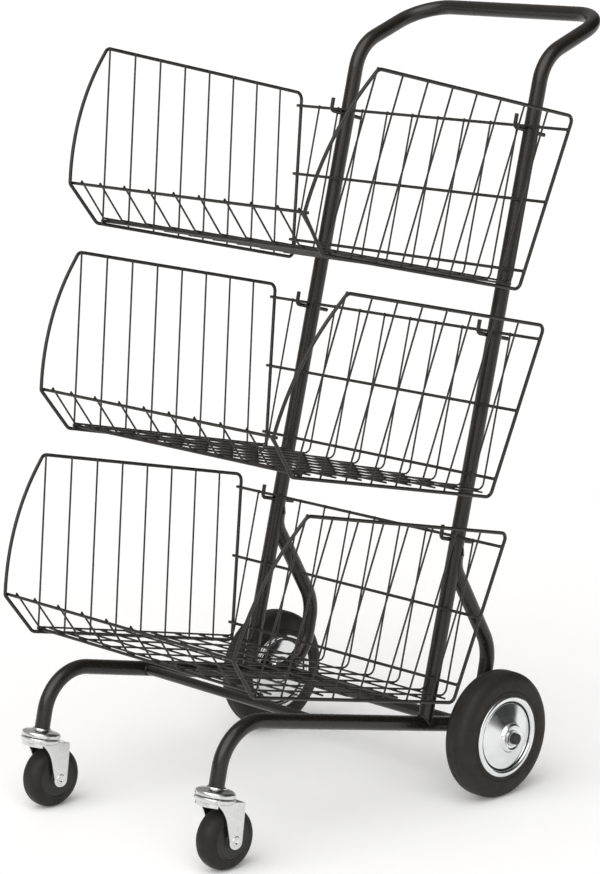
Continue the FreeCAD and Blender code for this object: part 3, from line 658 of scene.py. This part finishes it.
def fork_leg(shape, swivel, sign):
    """One leg: its outline, a raised rib and the thickness of the sheet."""
    leg = bmesh.new()
    places = [on_cart(sign * FORK_HALF, y, z, swivel) for y, z, _ in leg_outline]
    outline_edges(leg, places, [corner[2] for corner in leg_outline])
    bmesh.ops.contextual_create(leg, geom=leg.edges[:])
    for face in leg.faces:
        if face.normal.dot(SIDE * sign) < 0:
            face.normal_flip()
    rim = bmesh.ops.inset_region(leg, faces=leg.faces[:], thickness=RIB_IN * MM,
                                 use_even_offset=True)["faces"]
    panel = [face for face in leg.faces if face not in rim]
    bmesh.ops.inset_region(leg, faces=panel, thickness=RIB_SLOPE * MM, depth=RIB_HIGH * MM,
                           use_even_offset=True)
    bmesh.ops.solidify(leg, geom=leg.faces[:], thickness=FORK_SHEET * MM)
    bmesh.ops.recalc_face_normals(leg, faces=leg.faces)
    round_edges(leg, LEG_SOFT)
    join_shape(shape, leg)


print("legs of", len(leg_outline), "corners")

# %% Plate and skirt of a fork
PLATE_ROUND = (5.0, 5.0, 3.0, 3.0)
PLATE_SOFT = 0.6
SKIRT_R = 22.0          # front skirt under the crown, from leg to leg
SKIRT_TOP = 1.0
SKIRT_LOW = -4.0
SKIRT_HALF = math.radians(61)
SKIRT_ROUND = (0.0, 0.0, 1.1, 1.0)


def fork_plate(shape, swivel):
    """The flat top between the legs, with rounded corners."""
    plate = bmesh.new()
    corners = [(-FORK_HALF, LEG_FRONT), (FORK_HALF, LEG_FRONT),
               (FORK_HALF, LEG_BACK), (-FORK_HALF, LEG_BACK)]
    places = [on_cart(x, y, PLATE_TOP - FORK_SHEET, swivel) for x, y in corners]
    outline_edges(plate, places, PLATE_ROUND)
    bmesh.ops.contextual_create(plate, geom=plate.edges[:])
    top = bmesh.ops.extrude_face_region(plate, geom=plate.faces[:])["geom"]
    raised = [item for item in top if isinstance(item, bmesh.types.BMVert)]
    bmesh.ops.translate(plate, verts=raised, vec=UP * FORK_SHEET * MM)
    bmesh.ops.recalc_face_normals(plate, faces=plate.faces)
    round_edges(plate, PLATE_SOFT)
    join_shape(shape, plate)


def fork_skirt(shape, swivel):
    """The rolled front edge under the crown."""
    skirt = bmesh.new()
    inside = SKIRT_R - FORK_SHEET
    section = [(inside, SKIRT_TOP), (SKIRT_R, SKIRT_TOP), (SKIRT_R, SKIRT_LOW), (inside, SKIRT_LOW)]
    start = Matrix.Rotation(-SKIRT_HALF, 3, UP) @ -REAR
    places = [swivel + (start * radius + UP * z) * MM for radius, z in section]
    outline_edges(skirt, places, SKIRT_ROUND)
    bmesh.ops.spin(skirt, geom=skirt.verts[:] + skirt.edges[:], cent=swivel, axis=UP,
                   dvec=(0, 0, 0), angle=SKIRT_HALF * 2, steps=SPIN_STEPS // 3)
    bmesh.ops.holes_fill(skirt, edges=skirt.edges[:], sides=0)
    bmesh.ops.recalc_face_normals(skirt, faces=skirt.faces)
    join_shape(shape, skirt)


# %% Both forks
CROWN_TOP = 7.0
PIN_R = 4.05
RACE_BASE = 4.8
crown_outline = [
    (0.0, PIN_R, 0.2),
    (0.0, HEAD_R - 3.4, 1.2),
    (3.2, HEAD_R, 1.6),
    (CROWN_TOP - 0.7, HEAD_R, 0.5),
    (CROWN_TOP, HEAD_R - 0.9, 0.3),
    (CROWN_TOP, RACE_OUT, 0.0),
    (RACE_BASE, RACE_OUT, 0.0),
    (RACE_BASE, RACE_IN, 0.0),
    (CROWN_TOP, RACE_IN, 0.0),
    (CROWN_TOP, PIN_R, 0.2),
]
for side in SIDES:
    swivel = joint_place(f"{side}_caster_swivel")
    fork = bmesh.new()
    spin_outline(fork, crown_outline, swivel, UP, SIDE)
    fork_plate(fork, swivel)
    fork_skirt(fork, swivel)
    for sign in (1, -1):
        fork_leg(fork, swivel, sign)
    dress(as_piece(f"{side}_fork", fork), f"{side}_caster", "caster_zinc", f"{side}_caster_fork")

# %% [markdown]
# A rivet with a dished head holds each caster wheel. The wheel is a strongly rounded black tread on a
# plain core. All three lie about one axle, so three spun outlines in one small loop make them.

# %% Axle rivets
RIVET_HEAD_R = 6.5
RIVET_HEAD = 2.2
RIVET_GAP = 0.05        # between the head and the leg
RIVET_R = 4.0
DISH_R = 3.4
DISH_FLOOR_R = 2.4
DISH_DEEP = 1.1


def rivet_half(sign):
    """Half of the rivet's section: shank, head and the dish in its middle."""
    face = (FORK_HALF + RIVET_GAP) * sign
    tip = face + RIVET_HEAD * sign
    dish = tip - DISH_DEEP * sign
    return [(face, RIVET_R, 0.0), (face, RIVET_HEAD_R, 0.3), (tip, RIVET_HEAD_R - 0.7, 0.8),
            (tip, DISH_R, 0.5), (dish, DISH_FLOOR_R, 0.3), (dish, 0.0, 0.0)]


# %% Caster treads and cores
TREAD_HALF = 15.0
TREAD_R = 38.1
TREAD_BORE_R = 25.6
TREAD_ROUND = 12.4
CORE_R = 25.55
CORE_FACE = 14.2        # web of the core, almost flush with the tread
CORE_LIP = 15.0
CORE_HUB_R = 9.4
CORE_HUB = 16.2
CORE_BORE_R = 7.05


def tread_half(sign):
    """Half of the tread's section, from the bore to the crown."""
    face = TREAD_HALF * sign
    return [(face, TREAD_BORE_R, 0.3), (face, TREAD_R, TREAD_ROUND)]


def core_half(sign):
    """Half of the core's section: hub, flat web and a low lip along the tread."""
    hub, web, lip = CORE_HUB * sign, CORE_FACE * sign, CORE_LIP * sign
    return [(hub, CORE_BORE_R, 0.2), (hub, CORE_HUB_R, 0.6), (web, CORE_HUB_R + 0.8, 0.5),
            (web, CORE_R - 2.4, 0.4), (lip, CORE_R - 1.4, 0.4), (lip, CORE_R, 0.2)]


for part, half, body, slot, solid in (
        ("rivet", rivet_half, "caster", "caster_zinc", "axle"),
        ("tread", tread_half, "caster_wheel", "caster_rubber", "tread"),
        ("core", core_half, "caster_wheel", "core_plastic", "core")):
    for side in SIDES:
        middle = joint_place(f"{side}_caster_roll")
        piece = spun_piece(f"{side}_{part}", both_halves(half), middle, SIDE, UP)
        dress(piece, f"{side}_{body}", slot, f"{side}_caster_{solid}")

# %% [markdown]
# ## Welds on the tubes
# The tubes are welded where one end is cut to fit round another tube. The bead follows the line where
# the two round surfaces meet: for every angle round the branch, the point on its surface is pushed
# along the branch until it lies on the other tube. A boolean would find that line too, but as a ragged
# one; worked out, it is clean.

# %% Where two tubes meet
BEAD_POINTS = 64
TUBE_R = 9.5


def seam(place, along, radius, main_place, main_along):
    """Line on which a round branch meets the surface of a frame tube."""
    first = along.orthogonal().normalized()
    second = along.cross(first)
    line = []
    for i in range(BEAD_POINTS):
        angle = math.tau * i / BEAD_POINTS
        start = place + (first * math.cos(angle) + second * math.sin(angle)) * radius * MM
        offset = start - main_place
        offset -= main_along * offset.dot(main_along)
        slope = along - main_along * along.dot(main_along)
        half = offset.dot(slope)
        square = slope.dot(slope)
        root = half * half - square * (offset.dot(offset) - (TUBE_R * MM) ** 2)
        line.append(start + along * ((math.sqrt(max(root, 0.0)) - half) / square))
    return line


# %% [markdown]
# A curve with a round section, swollen and thinned in step, gives the ripples of a bead laid by hand,
# and the enamel covers it all. One curve holds all beads of the frame.

# %% Beads
BEAD_R = 1.5
RIPPLE = 0.18


def lay_bead(curve, line, thick, closed=True):
    """One bead through the points of a seam, rippled along its length."""
    bead = curve.splines.new("POLY")
    bead.points.add(len(line) - 1)
    for i, (point, place) in enumerate(zip(bead.points, line)):
        point.co = (*place, 1.0)
        point.radius = thick * (1.0 + RIPPLE * (-1) ** i)
    bead.use_cyclic_u = closed


beads = bpy.data.curves.new("frame_welds", "CURVE")
beads.dimensions = "3D"
beads.bevel_depth = MM
beads.bevel_resolution = 2
print("beads", BEAD_R * 2, "mm thick")

# %% [markdown]
# A strut comes up from the rear and bends at its top until it lies along the upright. Its seam
# runs down both sides of the bend, and ever finer passes of weld over its cut end let it run out on
# the upright without a step.

# %% Top of a strut
UPRIGHT_LEAN = math.radians(1.5)
UPRIGHT = UP * math.cos(UPRIGHT_LEAN) + REAR * math.sin(UPRIGHT_LEAN)
BACKWARD = UPRIGHT.cross(SIDE)  # square to the uprights, to the rear
ELBOW_HIGH = 197.0              # elbow of a strut up its upright
ELBOW_R = 30.0
ELBOW_TURN = math.radians(43.7)
STRUT_IN = 3.0                  # strut's end behind the upright's centre line
STRUT_END = 3.0                 # straight end over the elbow
BEND_TOP = ELBOW_HIGH + ELBOW_R * math.tan(ELBOW_TURN / 2)
SEAM_STEPS = 40
BEND_STEPS = 14                 # those of them in the bend
STEP_PAST = 1.5                 # length of a step past the bend
PASS_STEPS = 16
PASS_FIRST = 0.8                # first pass over the strut's end


def on_upright(foot, x, back, high):
    """A place given in millimetres sideways, behind and up an upright."""
    return foot + (SIDE * x + BACKWARD * back + UPRIGHT * high) * MM


def strut_pass(foot, back, rise):
    """Half ring round the back of the upright, over the strut's end."""
    line = []
    for i in range(1, PASS_STEPS):
        angle = math.pi * i / PASS_STEPS
        x, y = -TUBE_R * math.cos(angle), back + TUBE_R * math.sin(angle)
        line.append(on_upright(foot, x, y, BEND_TOP + STRUT_END + rise))
    return line


def strut_seam(foot):
    """Line round the top of a strut, which bends until it lies along the upright."""
    level = STRUT_IN / 2
    sides = [(math.sqrt(TUBE_R ** 2 - level ** 2), level, BEND_TOP + STRUT_END)]
    for i in range(SEAM_STEPS):
        turn = min(i / BEND_STEPS, 1.0) * ELBOW_TURN
        past = max(i - BEND_STEPS, 0) * STEP_PAST
        away = STRUT_IN + ELBOW_R * (1 - math.cos(turn)) + past * math.sin(turn)
        back = away * math.cos(turn) / (1 + math.cos(turn))
        if back > TUBE_R:
            break
        high = BEND_TOP - ELBOW_R * math.sin(turn) - past * math.cos(turn)
        sides.append((math.sqrt(TUBE_R ** 2 - back ** 2), back, high))
    corners = sides + [(-x, back, high) for x, back, high in reversed(sides)]
    return [on_upright(foot, *corner) for corner in corners] + strut_pass(foot, level, PASS_FIRST)


print("the struts lie along the uprights from", round(BEND_TOP, 1), "mm up")

# %% Seams of the frame
PASSES = 7                      # passes of weld that run the strut's end out on the upright
PASS_RISE = 1.5
PASS_THIN = 0.35                # share of a bead's thickness at which the passes end
CROSS_BAR_AHEAD = 184.0
CROSS_BAR_R = 6.0

for sign in (1, -1):
    foot = on_cart(sign * HALF_FRAME, 0, 0)
    lay_bead(beads, seam(foot, UPRIGHT, TUBE_R, foot, REAR), BEAD_R)
    lay_bead(beads, strut_seam(foot), BEAD_R)
    for i in range(1, PASSES):
        share = 1 - i / PASSES
        line = strut_pass(foot, STRUT_IN / 2 * share, PASS_FIRST + PASS_RISE * i)
        lay_bead(beads, line, BEAD_R * (PASS_THIN + (1 - PASS_THIN) * share), closed=False)
    bar_end = on_cart(sign * HALF_FRAME, -CROSS_BAR_AHEAD, 0)
    lay_bead(beads, seam(bar_end, SIDE * -sign, CROSS_BAR_R, bar_end, REAR), BEAD_R)
print("seams of the frame:", len(beads.splines))

# %% [markdown]
# The axle tube only touches the rear bends from below, so its weld is a short ring in the gap between
# the two round surfaces, half way between them at each point.

# %% Axle tube
AXLE_TUBE_R = 8.0
RING_R = 5.5
RING_POINTS = 32
BEND_R = 57.0
BEND_MIDDLE = (40.5, BEND_R)    # depth and height of a rear bend's centre


def axle_ring(side, sign):
    """Ring where the axle tube touches a rear bend."""
    bend = on_cart(sign * HALF_FRAME, *BEND_MIDDLE)
    outward = joint_place(f"{side}_wheel_roll") - bend
    outward = (outward - SIDE * outward.dot(SIDE)).normalized()
    along = SIDE.cross(outward)
    touch = bend + outward * (BEND_R + TUBE_R) * MM
    ring = []
    for i in range(RING_POINTS):
        angle = math.tau * i / RING_POINTS
        x, t = RING_R * math.cos(angle), RING_R * math.sin(angle)
        fall = t * t / AXLE_TUBE_R / 4 - x * x / TUBE_R / 4
        ring.append(touch + (SIDE * x + along * t + outward * fall) * MM)
    return ring


# %% [markdown]
# A hook rod runs right through its upright and has a fine bead on both sides. The hooks carry the
# hanging rails of the baskets, so the rails tell where the rods are.

# %% Hook rods
HOOK_R = 2.5
HOOK_BEAD_R = 0.8
HOOK_DROP = 4.7                 # hook rods under the centre of the hanging rail
HANG_OFFSET = 11.7              # hanging rail ahead of the uprights' centre lines
RAIL_R = 1.9
TIERS = ("lower", "middle", "top")


def rail_middle(tier):
    """Middle of a basket's hanging rail, which is the highest and rearmost of its back rails."""
    low, high = (Vector(corner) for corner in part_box(f"{tier}_basket_back_rails"))
    return Vector(((low.x + high.x) / 2, high.y - RAIL_R * MM, high.z - RAIL_R * MM))


for side, sign in zip(SIDES, (1, -1)):
    lay_bead(beads, axle_ring(side, sign), BEAD_R)
    for tier in TIERS:
        rail = rail_middle(tier)
        hung = Vector((sign * HALF_FRAME * MM, rail.y, rail.z))
        middle = hung + (BACKWARD * HANG_OFFSET - UPRIGHT * HOOK_DROP) * MM
        for way in (-1, 1):
            lay_bead(beads, seam(middle, BACKWARD * way, HOOK_R, middle, UPRIGHT), HOOK_BEAD_R)
dress(add_object("frame_welds", beads), "frame", "frame_paint")

# %% [markdown]
# ## Welds in the baskets
# The wires of a basket are spot welded wherever they cross: the current softens both wires and the
# electrodes press them together, which leaves a small flat nugget in the corner. Each nugget is a
# flattened ball with few faces, because there are hundreds of them.

# %% One nugget
NUGGET_LONG = 2.3
NUGGET_HIGH = 1.1
NEAR_SIDEWAYS = 0.9


def nugget(shape, place, across, size=1.0):
    """A flattened ball at a crossing; across is the way in which one wire lies on the other."""
    first = across.orthogonal().normalized()
    if abs(across.dot(SIDE)) < NEAR_SIDEWAYS:
        first = (SIDE - across * across.dot(SIDE)).normalized()
    second = across.cross(first)
    long, high = NUGGET_LONG * size * MM, NUGGET_HIGH * size * MM
    turn = Matrix((first * long, second * long, across * high)).transposed().to_4x4()
    bmesh.ops.create_uvsphere(shape, u_segments=8, v_segments=4, radius=1.0,
                              matrix=Matrix.Translation(place) @ turn)


# %% [markdown]
# Every crossing follows from a few sizes of the basket, counted from the middle of its hanging rail:
# the rims' heights and widths, the rails, and the pitch of the wires.

# %% The basket's wires
FLOOR_Z = -199.5                # rims' lower wire under the hanging rail
RIM_RISE = 17.0
TOP_HALF = 237.0
FLOOR_HALF = 200.0
RIM_R = 2.2
RAIL_HEIGHTS = (0.0, -90.0, FLOOR_Z + 23.0)
FLOOR_RAIL_Y = -332.0
LIP_CORNER = (-389.0, FLOOR_Z + 42.0)
LIP_FOOT = (-343.0, FLOOR_Z)
LIP_RAIL_IN = 2.3
WIRE_PITCH = 42.5
SIDE_WIRE_Y = [-336.5 + i * WIRE_PITCH for i in range(8)]
FLOOR_WIRE_Y = [y + WIRE_PITCH / 2 for y in SIDE_WIRE_Y]
OUTER_X = 192.0                 # outermost long wires
INNER_X = 157.0                 # the next ones; six more lie evenly between
LONG_WIRE_X = [-OUTER_X] + [-INNER_X + i * INNER_X * 2 / 7 for i in range(8)] + [OUTER_X]


def half_width(z):
    """Half of the basket's width at a height."""
    return FLOOR_HALF + (z - FLOOR_Z) * (TOP_HALF - FLOOR_HALF) / (RIM_RISE - FLOOR_Z)


def back_y(z, ahead):
    """Depth of the leaned back at a height, some way ahead of the rails."""
    return z * math.tan(UPRIGHT_LEAN) - ahead


print("long wires:", [round(x, 1) for x in LONG_WIRE_X])

# %% Nuggets of a basket
OVER_FLOOR_WIRE = 6.07          # crossings over the middle of the rims' lower wire
OVER_RAIL = 6.05
OFF_RAIL = 1.93                 # crossings ahead of or behind the middle of a back rail
RIM_PRESS = 0.1                 # crossings of the side wires from the rims' inner faces
SMALL, LARGE = 0.8, 1.2


def wire_welds(shape, start):
    """Nuggets where the long wires cross the floor wires and the five rails."""
    lip_run = (0, LIP_FOOT[0] - LIP_CORNER[0], LIP_FOOT[1] - LIP_CORNER[1])
    lip_down = Vector(lip_run).normalized()
    lip_in = REAR * -lip_down.z + UP * lip_down.y
    lip_rail = [corner + way * LIP_RAIL_IN for corner, way in zip(LIP_CORNER, lip_down[1:])]
    for x in LONG_WIRE_X:
        for y in FLOOR_WIRE_Y:
            nugget(shape, on_cart(x, y, FLOOR_Z + OVER_FLOOR_WIRE, start), UP, SMALL)
        nugget(shape, on_cart(x, FLOOR_RAIL_Y, FLOOR_Z + OVER_RAIL, start), UP)
        nugget(shape, on_cart(x, *lip_rail, start) + lip_in * OVER_RAIL * MM, lip_in)
        for z in RAIL_HEIGHTS:
            nugget(shape, on_cart(x, back_y(z, OFF_RAIL), z, start), BACKWARD)


def rim_welds(shape, start):
    """Nuggets where the side wires and the rails cross the rims."""
    for sign in (1, -1):
        for z in (RIM_RISE, FLOOR_Z):
            x = sign * (half_width(z) - RIM_R - RIM_PRESS)
            for y in SIDE_WIRE_Y:
                nugget(shape, on_cart(x, y, z, start), SIDE)
        for z in RAIL_HEIGHTS:
            crossing = on_cart(sign * half_width(z), back_y(z, -OFF_RAIL), z, start)
            nugget(shape, crossing, BACKWARD, LARGE)
        crossing = on_cart(sign * FLOOR_HALF, FLOOR_RAIL_Y, FLOOR_Z + RIM_R, start)
        nugget(shape, crossing, UP, LARGE)


for tier in TIERS:
    welds = bmesh.new()
    wire_welds(welds, rail_middle(tier))
    rim_welds(welds, rail_middle(tier))
    print(tier, "basket:", len(welds.faces), "faces of weld")
    dress(as_piece(f"{tier}_basket_welds", welds), f"{tier}_basket", "wire_paint")
